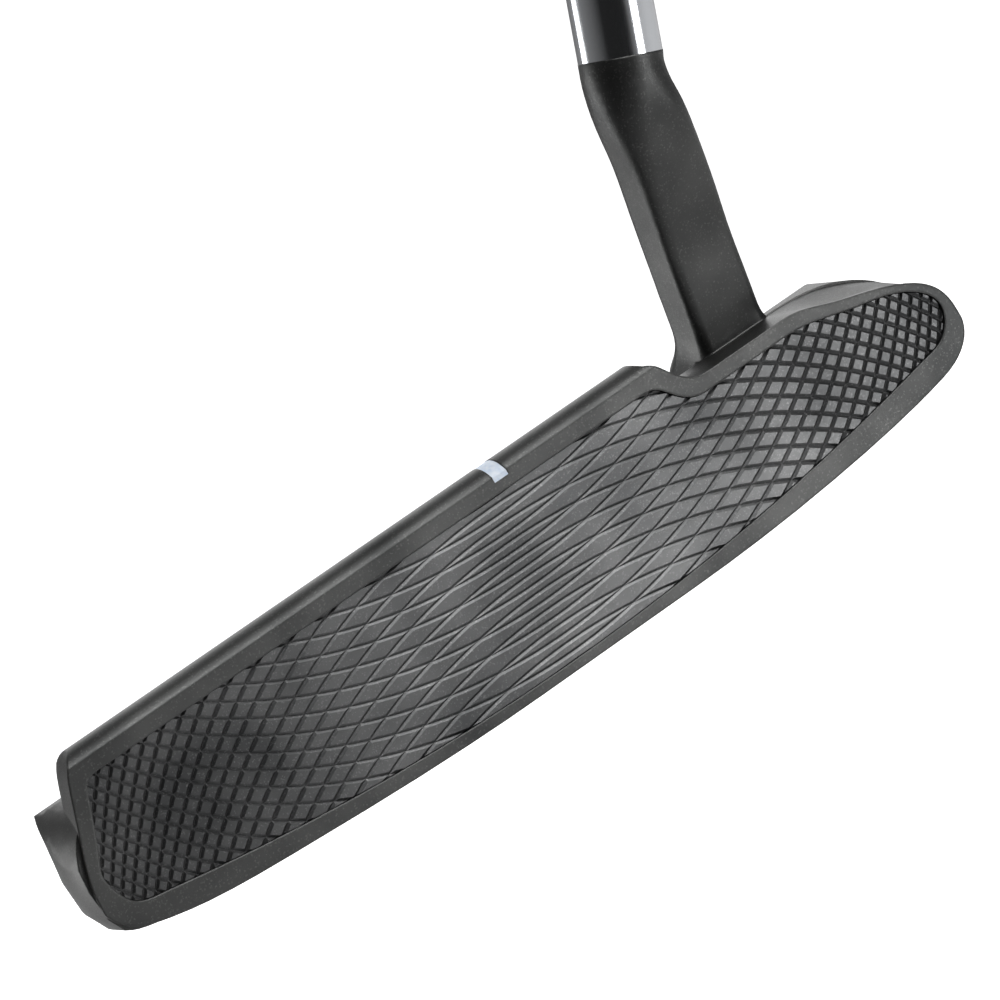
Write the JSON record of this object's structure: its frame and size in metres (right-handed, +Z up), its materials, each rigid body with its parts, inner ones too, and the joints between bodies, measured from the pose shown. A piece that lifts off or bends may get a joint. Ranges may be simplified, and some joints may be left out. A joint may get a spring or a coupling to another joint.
{
  "type": "blade putter",
  "caption": "Heel-shafted blade putter with a milled face insert, toe and heel bumpers, a bent neck, a stepped steel shaft and a moulded grip.",
  "frame": {"origin": "on the flat of the sole, 6 mm behind the leading edge and below the middle of the face's pattern, with the club at address", "axes": "+X from toe to heel, -Y towards the target, out of the face, +Z up with the shaft leaning 70 degrees towards +X"},
  "size_m": [0.3948, 0.0386, 0.8155],
  "materials": {
    "head_finish": "matte charcoal physical-vapour coat over bead-blasted steel, with a fine sparkle",
    "insert_finish": "charcoal coated milled steel",
    "backing_elastomer": "thin black damping sheet, hidden",
    "sight_paint": "pale blue-white enamel fill",
    "weight_steel": "satin turned steel",
    "washer_polymer": "black locking washer",
    "shaft_chrome": "bright chrome plate",
    "bond_epoxy": "cured epoxy film, hidden",
    "grip_rubber": "matte black moulded rubber",
    "tape_fabric": "double-sided paper tape, hidden"
  },
  "bodies": {
    "club": {"head_body": "head_finish", "face_insert": "insert_finish", "insert_backing": "backing_elastomer", "sight_line": "sight_paint", "shaft": "shaft_chrome", "shaft_bond": "bond_epoxy", "grip_body": "grip_rubber", "grip_tape": "tape_fabric", "grip_cap": "grip_rubber"},
    "toe_washer": {"weight_washer_toe": "washer_polymer"},
    "toe_weight": {"weight_toe": "weight_steel"},
    "heel_washer": {"weight_washer_heel": "washer_polymer"},
    "heel_weight": {"weight_heel": "weight_steel"}
  },
  "joints": [
    {"name": "toe_weight_lift", "type": "slide", "parent": "club", "child": "toe_washer", "axis": [0, 0, -1], "range_m": [0, 0.005]},
    {"name": "toe_weight_turn", "type": "hinge", "parent": "toe_washer", "child": "toe_weight", "pos_m": [-0.0456, 0.008, 0.006], "axis": [0, 0, -1], "range_deg": [0, 2400]},
    {"name": "heel_weight_lift", "type": "slide", "parent": "club", "child": "heel_washer", "axis": [0, 0, -1], "range_m": [0, 0.005]},
    {"name": "heel_weight_turn", "type": "hinge", "parent": "heel_washer", "child": "heel_weight", "pos_m": [0.045, 0.008, 0.006], "axis": [0, 0, -1], "range_deg": [0, 2400]}
  ],
  "couplings": [
    {"joint": "toe_weight_turn", "follows": "toe_weight_lift", "rad_per_m": 8377.6},
    {"joint": "heel_weight_turn", "follows": "heel_weight_lift", "rad_per_m": 8377.6}
  ]
}
